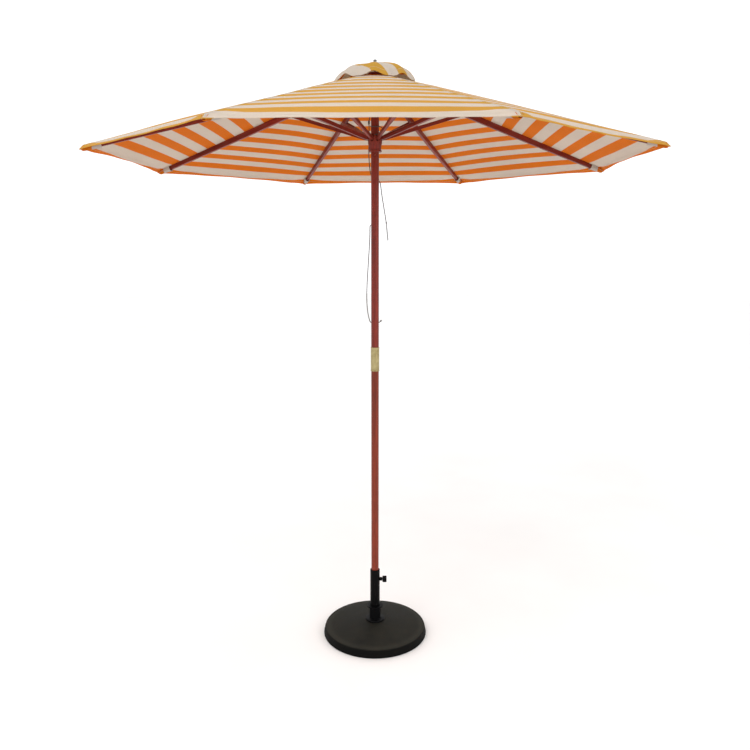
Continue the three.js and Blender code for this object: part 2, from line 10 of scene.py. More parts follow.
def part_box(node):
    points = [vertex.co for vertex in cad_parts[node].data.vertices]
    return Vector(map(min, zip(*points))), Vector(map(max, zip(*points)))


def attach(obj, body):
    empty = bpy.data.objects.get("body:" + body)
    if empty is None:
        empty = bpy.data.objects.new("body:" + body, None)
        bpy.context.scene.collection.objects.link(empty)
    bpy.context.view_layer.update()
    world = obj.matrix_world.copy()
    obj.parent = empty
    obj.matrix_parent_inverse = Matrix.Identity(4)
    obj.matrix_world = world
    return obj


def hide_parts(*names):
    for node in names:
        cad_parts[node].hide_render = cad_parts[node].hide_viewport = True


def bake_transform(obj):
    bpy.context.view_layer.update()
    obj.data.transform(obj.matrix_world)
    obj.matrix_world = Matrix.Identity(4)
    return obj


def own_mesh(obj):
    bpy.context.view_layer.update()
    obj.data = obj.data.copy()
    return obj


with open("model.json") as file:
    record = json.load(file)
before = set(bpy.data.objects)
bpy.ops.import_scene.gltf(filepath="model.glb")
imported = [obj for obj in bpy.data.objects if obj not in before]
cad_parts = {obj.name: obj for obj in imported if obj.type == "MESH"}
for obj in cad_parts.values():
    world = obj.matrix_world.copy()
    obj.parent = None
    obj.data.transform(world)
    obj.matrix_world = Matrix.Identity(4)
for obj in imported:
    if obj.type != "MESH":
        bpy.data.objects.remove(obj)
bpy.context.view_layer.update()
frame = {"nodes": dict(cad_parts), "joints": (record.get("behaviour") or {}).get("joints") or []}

# ---- driving dimensions, from the frame -----------------------------------------
ARMS = 8
ARM_STEP = 2 * math.pi / ARMS
HALF_STEP = ARM_STEP / 2
COS_HALF = math.cos(HALF_STEP)
TAN_HALF = math.tan(HALF_STEP)


def arm_angle(arm):
    """Azimuth of an arm, counted from 1. A gore, not a rib, faces each axis."""
    return HALF_STEP + (arm - 1) * ARM_STEP


def joint(name):
    return next(j for j in frame["joints"] if j["name"] == name)


def reach(node, angle):
    """(nearest, furthest) distance of a CAD node's points along an azimuth."""
    along = Vector((math.cos(angle), math.sin(angle), 0))
    distances = [along.dot(v.co) for v in frame["nodes"][node].data.vertices]
    return min(distances), max(distances)


HUB_X, HUB_Y, HUB_Z = joint("rib_1_fold")["pos_m"]
HUB_R = math.hypot(HUB_X, HUB_Y)
PIN_X, PIN_Y, PIN_Z = joint("strut_1_fold")["pos_m"]
RUNNER_Z = joint("runner_level")["pos_m"][2]
STRUT_SLOPE = math.atan2(PIN_Z - RUNNER_Z, math.hypot(PIN_X, PIN_Y) - HUB_R)
RIB_TIP_R = reach("rib_1", arm_angle(1))[1]
RIB_FALL = 0.2994                                  # height lost per metre of reach
RIB_SLOPE = math.atan(RIB_FALL)
RIB_TOP = 0.008                                    # top edge above the centre line
CLOTH_R = reach("canopy_1", arm_angle(1))[1]       # hem corners, at the ribs
CLOTH_IN_R = reach("canopy_1", arm_angle(1))[0] / COS_HALF ** 2
HEM_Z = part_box("canopy_1")[0].z + 0.001
CROWN_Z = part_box("canopy_1")[1].z                  # the cloth at its inner edge
CAP_R = reach("vent_cap", arm_angle(1))[1]
CAP_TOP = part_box("vent_cap")[1].z
CAP_CORNER_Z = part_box("vent_cap")[0].z + 0.001

CAP_HOLE_R = 0.004
CAP_ARCH = 0.018                                   # how far its hem lifts mid-gore

CLOTH = 0.0011
HEM_WIDTH = 0.014
SEAM_HALF = 0.0075                                 # of the doubled cloth over a rib
HEM_DIP = 0.025                                    # how far the hem bows in mid-gore
SHOULDER_P = 0.870                                 # the cloth turns down from here
STRIPE_PITCH = 0.0925
ORANGE_CENTRE = 1.008                              # of the outermost band, from the axis
FRONT_GORE = 6                                     # cut two thirds of a pitch further in
FRONT_SHIFT = 0.064
CORD_R = 0.00175
CAMERA_LENS = 34.93
THREAD_WAVE = 1750.0                               # stitches: radians of wave a metre
WEAVE_PITCH = 0.0011


# ---- camera ---------------------------------------------------------------------
def make_camera():
    data = bpy.data.cameras.new("camera")
    data.lens = CAMERA_LENS
    data.sensor_width = 36
    camera = bpy.data.objects.new("camera", data)
    camera.location = (0.113, -3.012, 1.6945)
    camera.rotation_euler = (math.radians(90 - 9.97), 0, math.radians(2.15))
    bpy.context.scene.collection.objects.link(camera)
    bpy.context.scene.camera = camera


# ---- shader helpers ---------------------------------------------------------------
def srgb(red, green, blue):
    """A colour given in 0 to 255 as the linear colour a shader takes."""
    def linear(value):
        share = value / 255
        return share / 12.92 if share <= 0.04045 else ((share + 0.055) / 1.055) ** 2.4
    return (linear(red), linear(green), linear(blue), 1)


class Shader:
    """One material: its node tree, its Principled shader, and short ways to add nodes."""

    def __init__(self, name, **surface):
        self.material = bpy.data.materials.new(name)
        self.material.use_nodes = True
        self.tree = self.material.node_tree
        self.principled = self.tree.nodes["Principled BSDF"]
        for socket, value in surface.items():
            self.principled.inputs[socket.replace("_", " ")].default_value = value

    def node(self, kind, inputs=None, **settings):
        node = self.tree.nodes.new("ShaderNode" + kind)
        for key, value in settings.items():
            setattr(node, key, value)
        for key, value in (inputs or {}).items():
            if isinstance(value, bpy.types.NodeSocket):
                self.tree.links.new(value, node.inputs[key])
            else:
                node.inputs[key].default_value = value
        return node

    def math(self, operation, first, second=0.0, third=0.0):
        inputs = {0: first, 1: second, 2: third}
        return self.node("Math", inputs, operation=operation).outputs[0]

    def object_point(self, location=(0, 0, 0), rotation=(0, 0, 0)):
        """The point in the row frame, turned into a frame placed there."""
        point = self.node("TexCoord").outputs["Object"]
        inputs = {"Vector": point, "Location": location, "Rotation": rotation}
        return self.node("Mapping", inputs, vector_type="TEXTURE").outputs[0]

    def stretched(self, point, scale):
        return self.node("Mapping", {"Vector": point, "Scale": scale}).outputs[0]

    def uv(self, layer):
        """(u, v) of a UV layer, each as a number in metres, and both as a vector."""
        vector = self.node("UVMap", uv_map=layer).outputs[0]
        split = self.node("SeparateXYZ", {0: vector})
        return split.outputs[0], split.outputs[1], vector

    def noise(self, point, scale, detail=3.0, roughness=0.5, distortion=0.0):
        inputs = {"Vector": point, "Scale": scale, "Detail": detail,
                  "Roughness": roughness, "Distortion": distortion}
        return self.node("TexNoise", inputs).outputs["Fac"]

    def ramp(self, factor, *stops):
        """A colour or a grey from (position, value) stops."""
        node = self.node("ValToRGB", {"Fac": factor})
        elements = node.color_ramp.elements
        while len(elements) < len(stops):
            elements.new(0.5)
        for element, (position, value) in zip(elements, stops):
            element.position = position
            grey = isinstance(value, (int, float))
            element.color = (value, value, value, 1) if grey else value
        return node.outputs["Color"]

    def mix(self, factor, first, second, blend="MIX"):
        node = self.node("Mix", {0: factor, 6: first, 7: second},
                         data_type="RGBA", blend_type=blend)
        return node.outputs[2]

    def near(self, value, centre, width):
        """1 where value is within width of centre, else 0, with a soft edge."""
        away = self.math("ABSOLUTE", self.math("SUBTRACT", value, centre))
        return self.math("SUBTRACT", 1.0, self.math("SMOOTH_MIN", 1.0,
                         self.math("DIVIDE", away, width), 0.3))

    def bump(self, *layers):
        """Stacks (height, depth in metres) layers and joins them to the shader."""
        normal = None
        for height, depth in layers:
            inputs = {"Height": height, "Distance": depth, "Strength": 1.0}
            if normal is not None:
                inputs["Normal"] = normal
            normal = self.node("Bump", inputs).outputs[0]
        self.tree.links.new(normal, self.principled.inputs["Normal"])

    def join(self, **sockets):
        for name, output in sockets.items():
            self.tree.links.new(output, self.principled.inputs[name.replace("_", " ")])


# ---- materials --------------------------------------------------------------------
THREAD = srgb(226, 216, 198)
GLOW = srgb(255, 244, 226)          # what light picks up on its way through the cloth
THROUGH = 0.42                      # share of the surface that lets light through


def cloth_material(name, orange, white):
    """Canvas woven in two colours, with its hem's and its seams' stitches.

    The UV layer "cloth" is in metres, v across the stripes. "sewn" holds the distance
    from the seam and from the hem's edge.
    """
    s = Shader(name, Sheen_Weight=0.04, Sheen_Roughness=0.5, Specular_IOR_Level=0.08)
    u, v, point = s.uv("cloth")
    wander = s.math("MULTIPLY", s.math("SUBTRACT", s.noise(point, 18, 4), 0.5), 0.0016)
    phase = s.math("DIVIDE", s.math("SUBTRACT", s.math("ADD", v, wander),
                                    ORANGE_CENTRE - STRIPE_PITCH / 4), STRIPE_PITCH)
    phase = s.math("FRACT", s.math("ADD", phase, 40.0))
    pale_orange = tuple(0.6 * a + 0.4 * b for a, b in zip(orange, white))
    stripes = s.ramp(phase, (0.0, pale_orange), (0.006, orange), (0.484, orange),
                     (0.494, pale_orange), (0.502, white), (0.994, white))

    slub = s.noise(s.stretched(point, (60, 1100, 1)), 1.0, 2, 0.6)
    pick = s.noise(s.stretched(point, (1100, 45, 1)), 1.0, 2, 0.6)
    yarn = s.math("ADD", s.math("MULTIPLY", slub, 0.5), s.math("MULTIPLY", pick, 0.5))
    faded = s.noise(point, 3.1, 4, 0.6)
    tone = s.math("ADD", s.math("MULTIPLY", yarn, 0.34), s.math("MULTIPLY", faded, 0.16))
    tone = s.math("ADD", tone, 0.75)
    tone = s.node("CombineColor", {0: tone, 1: tone, 2: tone}).outputs[0]
    colour = s.mix(1.0, stripes, tone, "MULTIPLY")

    from_seam, from_hem, _ = s.uv("sewn")

    def dashes(along):
        wave = s.math("SINE", s.math("MULTIPLY", along, THREAD_WAVE))
        return s.math("GREATER_THAN", wave, -0.45)

    dash_u = dashes(u)
    dash_v = dashes(v)
    hem_row = s.math("MULTIPLY", s.near(from_hem, HEM_WIDTH - 0.002, 0.0011), dash_u)
    seam_row = s.math("MULTIPLY", s.near(from_seam, SEAM_HALF - 0.002, 0.0011), dash_v)
    stitch = s.math("MAXIMUM", hem_row, seam_row)
    colour = s.mix(stitch, colour, THREAD)
    s.join(Base_Color=colour)

    warp = s.math("SINE", s.math("MULTIPLY", u, 2 * math.pi / WEAVE_PITCH))
    weft = s.math("SINE", s.math("MULTIPLY", v, 2 * math.pi / WEAVE_PITCH))
    weave = s.math("MULTIPLY", warp, weft)
    s.join(Roughness=s.ramp(yarn, (0.3, 0.78), (0.7, 0.95)))
    s.bump((s.noise(point, 7, 4, 0.55), 0.004), (weave, 0.00012), (yarn, 0.0005),
           (stitch, 0.0006))
    through = s.node("BsdfTranslucent", {"Color": s.mix(1.0, colour, GLOW, "MULTIPLY")})
    both = s.node("MixShader", {0: THROUGH, 1: s.principled.outputs[0], 2: through.outputs[0]})
    output = next(n for n in s.tree.nodes if n.type == "OUTPUT_MATERIAL")
    s.tree.links.new(both.outputs[0], output.inputs["Surface"])
    return s.material


def wood_material(name, light, dark, location=(0, 0, 0), rotation=(0, 0, 0)):
    """Stained hardwood under satin varnish. The grain runs along X of the given frame."""
    s = Shader(name, Specular_IOR_Level=0.25, Coat_Weight=0.07, Coat_Roughness=0.2)
    point = s.object_point(location, rotation)
    figure = s.noise(s.stretched(point, (1.6, 34, 34)), 1.0, 5, 0.55, 0.6)
    streak = s.noise(s.stretched(point, (5, 210, 210)), 1.0, 4, 0.6)
    pores = s.noise(s.stretched(point, (26, 900, 900)), 1.0, 2, 0.5)
    broad = s.noise(point, 2.3, 3)
    grain = s.math("ADD", s.math("MULTIPLY", figure, 0.6), s.math("MULTIPLY", streak, 0.4))
    middle = tuple((a + b) / 2 for a, b in zip(light, dark))
    colour = s.ramp(grain, (0.34, dark), (0.5, middle), (0.66, light))
    pore_line = s.ramp(pores, (0.36, 0.45), (0.45, 1.0))
    colour = s.mix(0.75, colour, pore_line, "MULTIPLY")
    colour = s.mix(0.5, colour, s.ramp(broad, (0.3, 0.62), (0.7, 1.0)), "MULTIPLY")
    s.join(Base_Color=colour, Roughness=s.ramp(streak, (0.3, 0.34), (0.7, 0.5)))
    s.bump((streak, 0.0004), (pores, 0.00025))
    return s.material


def metal_material(name, colour, tarnish, roughness):
    """Turned metal: fine lathe marks, small scratches and a duller tarnish in patches."""
    s = Shader(name, Metallic=1.0)
    point = s.object_point()
    marks = s.noise(s.stretched(point, (30, 30, 2600)), 1.0, 2)
    scratches = s.noise(s.stretched(point, (160, 160, 700)), 1.0, 4, 0.7)
    patches = s.noise(point, 38, 4, 0.6)
    s.join(Base_Color=s.mix(s.ramp(patches, (0.38, 0.0), (0.72, 0.75)), colour, tarnish),
           Roughness=s.ramp(patches, (0.3, roughness), (0.75, roughness + 0.22)))
    s.bump((marks, 0.00012), (scratches, 0.00008))
    return s.material


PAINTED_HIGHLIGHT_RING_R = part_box("base_weight")[1].x - 0.022    # radius of a painted highlight ring on the base's top


def stone_material(name):
    """Cast resin stone, near black: fine pitting, specks of sand, a dusty film on what faces up,
    and a painted highlight ring near the top's rim.
    """
    s = Shader(name, Specular_IOR_Level=0.06)
    point = s.object_point()
    pits = s.node("TexVoronoi", {"Vector": point, "Scale": 340.0}).outputs["Distance"]
    sand = s.noise(point, 520, 3, 0.7)
    cloud = s.noise(point, 11, 5, 0.6)
    speck = s.ramp(sand, (0.6, 0.0), (0.72, 1.0))
    base = s.ramp(cloud, (0.3, srgb(6, 6, 5)), (0.7, srgb(13, 13, 11)))
    colour = s.mix(s.math("MULTIPLY", speck, 0.12), base, srgb(74, 72, 62))
    up = s.node("SeparateXYZ", {0: s.node("NewGeometry").outputs["Normal"]}).outputs[2]
    split = s.node("SeparateXYZ", {0: point})
    radius = s.math("SQRT", s.math("ADD", s.math("POWER", split.outputs[0], 2.0),
                                   s.math("POWER", split.outputs[1], 2.0)))
    # painted highlight: a lighter ring near the rim of the top, added to the dusty film below
    rim = s.math("MULTIPLY", s.near(radius, PAINTED_HIGHLIGHT_RING_R, 0.02), 0.05)
    worn = s.math("ADD", s.math("MULTIPLY", cloud, 0.14), rim)
    dust_and_highlight = s.math("MULTIPLY", s.ramp(up, (0.5, 0.0), (0.95, 1.0)), worn)
    s.join(Base_Color=s.mix(dust_and_highlight, colour, srgb(118, 114, 100)),
           Roughness=s.ramp(cloud, (0.3, 0.5), (0.7, 0.72)))
    s.bump((cloud, 0.0015), (sand, 0.0005), (s.ramp(pits, (0.0, 0.0), (0.18, 1.0)), 0.0003))
    return s.material


def plastic_material(name, colour, roughness=0.42):
    """Moulded plastic with a fine spark-eroded grain and light scuffs."""
    s = Shader(name, Specular_IOR_Level=0.08)
    point = s.object_point()
    spark = s.noise(point, 1500, 2)
    scuff = s.noise(s.stretched(point, (60, 60, 240)), 1.0, 5, 0.7)
    pale = tuple(min(1, 2.6 * c + 0.01) for c in colour[:3]) + (1,)
    s.join(Base_Color=s.mix(s.ramp(scuff, (0.6, 0.0), (0.8, 0.5)), colour, pale),
           Roughness=s.ramp(scuff, (0.4, roughness), (0.8, roughness + 0.25)))
    s.bump((spark, 0.00016), (scuff, 0.0002))
    return s.material


def coated_steel_material(name, colour):
    """Powder-coated steel: a fine orange-peel surface with a satin gloss."""
    s = Shader(name, Specular_IOR_Level=0.07)
    point = s.object_point()
    peel = s.noise(point, 420, 2, 0.4)
    wear = s.noise(point, 26, 5, 0.65)
    s.join(Base_Color=s.mix(s.ramp(wear, (0.55, 0.0), (0.8, 0.6)), colour, srgb(22, 21, 20)),
           Roughness=s.ramp(wear, (0.3, 0.3), (0.75, 0.48)))
    s.bump((peel, 0.0003))
    return s.material


def cord_material(name):
    """Dark twisted cord: fibres along each strand, dusty on the crowns."""
    s = Shader(name, Sheen_Weight=0.35, Sheen_Roughness=0.6, Specular_IOR_Level=0.2)
    _, _, point = s.uv("cloth")
    fibre = s.noise(s.stretched(point, (420, 1600, 1)), 1.0, 3, 0.6)
    worn = s.noise(point, 60, 3)
    tone = s.math("ADD", s.math("MULTIPLY", fibre, 0.7), s.math("MULTIPLY", worn, 0.3))
    s.join(Base_Color=s.ramp(tone, (0.3, srgb(24, 16, 14)), (0.72, srgb(92, 74, 66))),
           Roughness=s.ramp(fibre, (0.3, 0.8), (0.7, 0.97)))
    s.bump((fibre, 0.00025))
    return s.material


def floor_material(name):
    s = Shader(name, Specular_IOR_Level=0.2)
    point = s.object_point()
    tone = s.noise(point, 1.4, 3)
    s.join(Base_Color=s.ramp(tone, (0.3, srgb(236, 235, 233)), (0.7, srgb(241, 240, 238))),
           Roughness=s.ramp(tone, (0.3, 0.7), (0.7, 0.8)))
    return s.material


# ---- mesh helpers -----------------------------------------------------------------
def mesh_piece(name, points, faces, materials, layers=None):
    """A smooth mesh object. layers gives, per UV layer, one (u, v) for each face corner."""
    mesh = bpy.data.meshes.new(name)
    mesh.from_pydata(points, [], faces)
    for layer, pairs in (layers or {}).items():
        data = mesh.uv_layers.new(name=layer).data
        for corner, pair in zip(data, pairs):
            corner.uv = pair
    for material in materials:
        mesh.materials.append(material)
    mesh.polygons.foreach_set("use_smooth", [True] * len(mesh.polygons))
    piece = bpy.data.objects.new(name, mesh)
    bpy.context.scene.collection.objects.link(piece)
    return piece


def grid_faces(rows, columns, wrap=False):
    """Quads over a grid of points, as index lists, going row to row."""
    last = columns if wrap else columns - 1
    return [
        (i * columns + j, (i + 1) * columns + j,
         (i + 1) * columns + (j + 1) % columns, i * columns + (j + 1) % columns)
        for i in range(rows - 1) for j in range(last)
    ]


def per_corner(faces, **layers):
    """UV layers given per point, spread to the corners of the faces."""
    return {name: [pairs[v] for face in faces for v in face] for name, pairs in layers.items()}


def shell(name, grid, halves, materials, corner_layers):
    """A cloth with two faces, joined all round by its raw edge.

    The grid has one column more on each side than the cloth, so that neighbouring
    pieces get the same normals, and meet without a crack. halves holds half of the
    thickness at each point, corner_layers the (u, v) of each corner of each quad.
    """
    rows, columns = len(grid), len(grid[0]) - 2
    upper, lower = [], []
    for i, row in enumerate(grid):
        for j in range(1, columns + 1):
            out = grid[min(i + 1, rows - 1)][j] - grid[max(i - 1, 0)][j]
            normal = out.cross(row[j + 1] - row[j - 1]).normalized()
            half = halves[i * columns + j - 1]
            upper.append(row[j] + normal * half)
            lower.append(row[j] - normal * half)

    count = len(upper)
    quads = grid_faces(rows, columns)
    underside = [tuple(v + count for v in reversed(quad)) for quad in quads]
    last_row, last_column = (rows - 1) * columns, columns - 1
    edges = [(j, j + 1) for j in range(last_column)]
    edges += [(last_row + j + 1, last_row + j) for j in range(last_column)]
    edges += [((i + 1) * columns, i * columns) for i in range(rows - 1)]
    edges += [(i * columns + last_column, (i + 1) * columns + last_column)
              for i in range(rows - 1)]
    rims = [(a, b, b + count, a + count) for a, b in edges]

    layers = {}
    for layer, pairs in corner_layers.items():
        per_quad = [pairs[4 * k:4 * k + 4] for k in range(len(quads))]
        of_point = {}
        for quad, four in zip(quads, per_quad):
            of_point.update(zip(quad, four))
        below = [pair for four in per_quad for pair in reversed(four)]
        layers[layer] = pairs + below + [of_point[v % count] for rim in rims for v in rim]

    piece = mesh_piece(name, upper + lower, quads + underside + rims, materials, layers)
    slots = [0] * len(quads) + [1] * len(underside) + [0] * len(rims)
    piece.data.polygons.foreach_set("material_index", slots)
    rim_edges = {frozenset(rim[:2]) for rim in rims} | {frozenset(rim[2:]) for rim in rims}
    sharp = [frozenset(edge.vertices) in rim_edges for edge in piece.data.edges]
    piece.data.edges.foreach_set("use_edge_sharp", sharp)
    return piece


def smoothstep(low, high, value):
    share = min(1, max(0, (value - low) / (high - low)))
    return share * share * (3 - 2 * share)


def spline(points, spacing):
    """Points at an even spacing on a centripetal Catmull-Rom curve through the route."""
    route = [Vector(p) for p in points]
    route = [2 * route[0] - route[1], *route, 2 * route[-1] - route[-2]]
    dense = []
    for a, b, c, d in zip(route, route[1:], route[2:], route[3:]):
        t0, t1 = 0, math.sqrt((b - a).length)
        t2 = t1 + math.sqrt((c - b).length)
        t3 = t2 + math.sqrt((d - c).length)
        steps = max(4, int((c - b).length / (spacing / 4)))
        for k in range(steps):
            t = t1 + (t2 - t1) * k / steps
            ab = a.lerp(b, (t - t0) / (t1 - t0))
            bc = b.lerp(c, (t - t1) / (t2 - t1))
            cd = c.lerp(d, (t - t2) / (t3 - t2))
            abc = ab.lerp(bc, (t - t0) / (t2 - t0))
            bcd = bc.lerp(cd, (t - t1) / (t3 - t1))
            dense.append(abc.lerp(bcd, (t - t1) / (t2 - t1)))
    dense.append(route[-2])
    even, travelled = [dense[0]], 0.0
    for before, after in zip(dense, dense[1:]):
        travelled += (after - before).length
        if travelled >= spacing:
            even.append(after)
            travelled = 0.0
    even[-1] = dense[-1]
    return even


STRANDS = 3
LAY_LENGTH = 0.011                  # one full turn of the strands


def rope(name, points, radius, material, spacing=0.0012):
    """A twisted cord through a route: its strands show as ridges round the tube.

    Gives the piece and its centreline.
    """
    line = spline(points, spacing)
    sides = 12
    side = (line[1] - line[0]).orthogonal().normalized()
    verts, uvs, travelled = [], [], 0.0
    for i, centre in enumerate(line):
        along = (line[min(i + 1, len(line) - 1)] - line[max(i - 1, 0)]).normalized()
        side = (side - along * side.dot(along)).normalized()
        up = along.cross(side)
        if i:
            travelled += (centre - line[i - 1]).length
        for k in range(sides):
            angle = 2 * math.pi * k / sides
            twist = STRANDS * (angle - 2 * math.pi * travelled / LAY_LENGTH)
            ridge = radius * (0.94 + 0.1 * math.cos(twist))
            verts.append(centre + ridge * (math.cos(angle) * side + math.sin(angle) * up))
            uvs.append((travelled, angle * radius))
    faces = grid_faces(len(line), sides, wrap=True)
    faces = [tuple(reversed(f)) for f in faces]
    pairs = []
    for face in faces:
        seam = max(uvs[v][1] for v in face) > 1.5 * math.pi * radius
        for v in face:
            u, around = uvs[v]
            wraps = seam and around < 0.5 * math.pi * radius
            pairs.append((u, around + 2 * math.pi * radius if wraps else around))
    first = len(verts)
    verts += [line[0], line[-1]]
    end = (len(line) - 1) * sides
    for k in range(sides):
        after = (k + 1) % sides
        faces.append((first, k, after))
        faces.append((first + 1, end + after, end + k))
        pairs += [(0, 0)] * 6
    piece = mesh_piece(name, verts, faces, [material], {"cloth": pairs})
    return piece, line


def barrel_knot(name, centre, along, turns, coil, radius, material):
    """A cord wound round itself: a short tight helix, its ends tucked in."""
    along = Vector(along).normalized()
    side = along.orthogonal().normalized()
    up = along.cross(side)
    pitch = 2 * radius * 1.02
    count = 14 * turns
    route = []
    for k in range(count + 1):
        share = k / count
        angle = 2 * math.pi * turns * share
        tuck = min(1, 8 * min(share, 1 - share) + 0.35)
        height = (share - 0.5) * turns * pitch
        around = math.cos(angle) * side + math.sin(angle) * up
        route.append(Vector(centre) + along * height + coil * tuck * around)
    return rope(name, route, radius, material, spacing=0.0008)[0]


# ---- canopy -----------------------------------------------------------------------
INNER_P = CLOTH_IN_R * COS_HALF
HEM_P = CLOTH_R * COS_HALF
RIDGE_DROP = 0.0014                 # the cloth's middle, below the top of its solid
SWELL = 0.0045                      # how far a gore stands proud of flat
SWELL_VARIES = 0.0012
DROOP_POWER = 2.3                   # how late and how fast the cloth turns down
HEM_LIFT = 0.005                    # the hem mid-gore, above its corners
PUCKER, PUCKER_PITCH = 0.0008, 0.083
WAVE, WAVE_PITCH = 0.0007, 0.23     # along the hem
BILLOW = 0.0014


def ridge_height(radius):
    """Height of the cloth over a rib."""
    return CROWN_Z - RIDGE_DROP - (radius - CLOTH_IN_R) * RIB_FALL


def hem_distance(share):
    """Where the scalloped hem runs: share is 0 at mid-gore and 1 at the rib."""
    return HEM_P - HEM_DIP * math.sin(math.pi / 2 * (1 - share))


def canopy_height(gore, p, s):
    """Height at p from the middle, square to the hem, and s along the hem."""
    half_width = p * TAN_HALF
    share = min(1, abs(s) / half_width)
    hem = hem_distance(share)
    from_rib = half_width - abs(s)
    flat = ridge_height(p / COS_HALF)
    out = (p - INNER_P) / (HEM_P - INNER_P)

    lift = SWELL + SWELL_VARIES * math.sin(2.3 * gore)
    swell = lift * (1 - share ** 2) * smoothstep(0.0, 0.25, out)

    turn = max(0, (p - SHOULDER_P) / (hem - SHOULDER_P))
    free = smoothstep(0.007, 0.09, from_rib)
    on_rib = smoothstep(RIB_TIP_R - 0.004, CLOTH_R, p / COS_HALF)
    hem_height = HEM_Z + HEM_LIFT * (1 - share ** 2)
    droop = (ridge_height(hem / COS_HALF) + swell - hem_height) * (
        free * turn ** DROOP_POWER + (1 - free) * on_rib)

    pull = smoothstep(0.0, 0.03, from_rib) * (1 - smoothstep(0.03, 0.16, from_rib))
    puckers = PUCKER * pull * math.sin(2 * math.pi * p / PUCKER_PITCH + 1.7 * gore)
    hem_wave = WAVE * turn ** 2 * free * math.sin(2 * math.pi * s / WAVE_PITCH + 2.1 * gore)
    billow = BILLOW * (1 - share ** 2) * math.sin(8 * p + 4 * s + 1.3 * gore)
    return flat + swell - droop + puckers + hem_wave + billow


def canopy_rows():
    """Shares of the way out, close together in the two hems."""
    hem_rows = [0.0, 0.004, HEM_WIDTH - 0.001, HEM_WIDTH]
    length = HEM_P - INNER_P
    inner = [d / length for d in hem_rows]
    outer = [1 - d / length for d in reversed(hem_rows)]
    steps = 40
    between = [inner[-1] + (outer[0] - inner[-1]) * k / steps for k in range(1, steps)]
    return inner + between + outer


def canopy_columns():
    """(distance from the rib, share of what is left to mid-gore), from the rib out."""
    seam = [0.0, 0.004, SEAM_HALF - 0.0007, SEAM_HALF]
    steps = 15
    return [(d, 0.0) for d in seam] + [(SEAM_HALF, k / steps) for k in range(1, steps + 1)]


def gore_beside(arm, side):
    """The gore on a rib's left (1) or right (-1). Gore g's middle is at g steps."""
    return arm if side > 0 else (arm - 2) % ARMS + 1


def stripe_shift(gore):
    """How far in from the other gores' a gore's stripes lie."""
    return FRONT_SHIFT if gore == FRONT_GORE else -0.004 * math.cos(2 * gore * ARM_STEP)


def from_nearest_hem(p, s):
    return min(hem_distance(abs(s) / (p * TAN_HALF)) - p, p - INNER_P)


def canopy_spot(arm, side, share_out, fixed, rest):
    """Where a grid point lies on a gore: (gore, p, s, distance from the rib)."""
    gore = gore_beside(arm, side)
    p = INNER_P + (HEM_P - INNER_P) * share_out
    for _ in range(4):               # the hem's bow depends on the share, and it on p
        half_width = p * TAN_HALF
        from_rib = fixed + (half_width - fixed) * rest
        p = INNER_P + (hem_distance(1 - from_rib / half_width) - INNER_P) * share_out
    half_width = p * TAN_HALF
    from_rib = fixed + (half_width - fixed) * rest
    return gore, p, -side * (half_width - from_rib), from_rib


def canopy_point(gore, p, s):
    middle = gore * ARM_STEP
    return Vector((p * math.cos(middle) - s * math.sin(middle),
                   p * math.sin(middle) + s * math.cos(middle), canopy_height(gore, p, s)))


FOLD_EDGE = 0.0005                  # where doubled cloth steps down to single


def canopy_piece(arm, top, under):
    """One eighth of the canopy, from mid-gore to mid-gore, over one rib."""
    columns = canopy_columns()
    across = [(-1, c) for c in reversed(columns[1:])] + [(1, c) for c in columns]
    grid, spots, halves = [], [], []
    for share_out in canopy_rows():
        found = [canopy_spot(arm, side, share_out, *column) for side, column in across]
        row = [canopy_point(gore, p, s) for gore, p, s, _ in found]
        # the next column past each mid-gore edge mirrors the one before that edge
        beyond = [canopy_point(found[k][0], found[k][1], -found[k][2]) for k in (1, -2)]
        grid.append([beyond[0], *row, beyond[1]])
        spots += found
        for _, p, s, from_rib in found:
            in_seam = from_rib < SEAM_HALF - FOLD_EDGE
            in_hem = from_nearest_hem(p, s) < HEM_WIDTH - FOLD_EDGE
            halves.append(CLOTH if in_seam or in_hem else CLOTH / 2)
    rib_column = len(columns) - 1
    width = len(across)
    layers = {"cloth": [], "sewn": []}
    for quad in grid_faces(len(grid), width):
        side = -1 if max(v % width for v in quad) <= rib_column else 1
        gore = gore_beside(arm, side)
        for v in quad:
            _, p, s, from_rib = spots[v]
            layers["cloth"].append((-side * abs(s) + 3 * gore, p + stripe_shift(gore)))
            layers["sewn"].append((from_rib, from_nearest_hem(p, s)))
    return shell(f"canopy_cloth_{arm}", grid, halves, [top, under], layers)


POCKET_LENGTH = 0.062
POCKET_EDGE = 0.04                  # cloth from a pocket's side to its middle


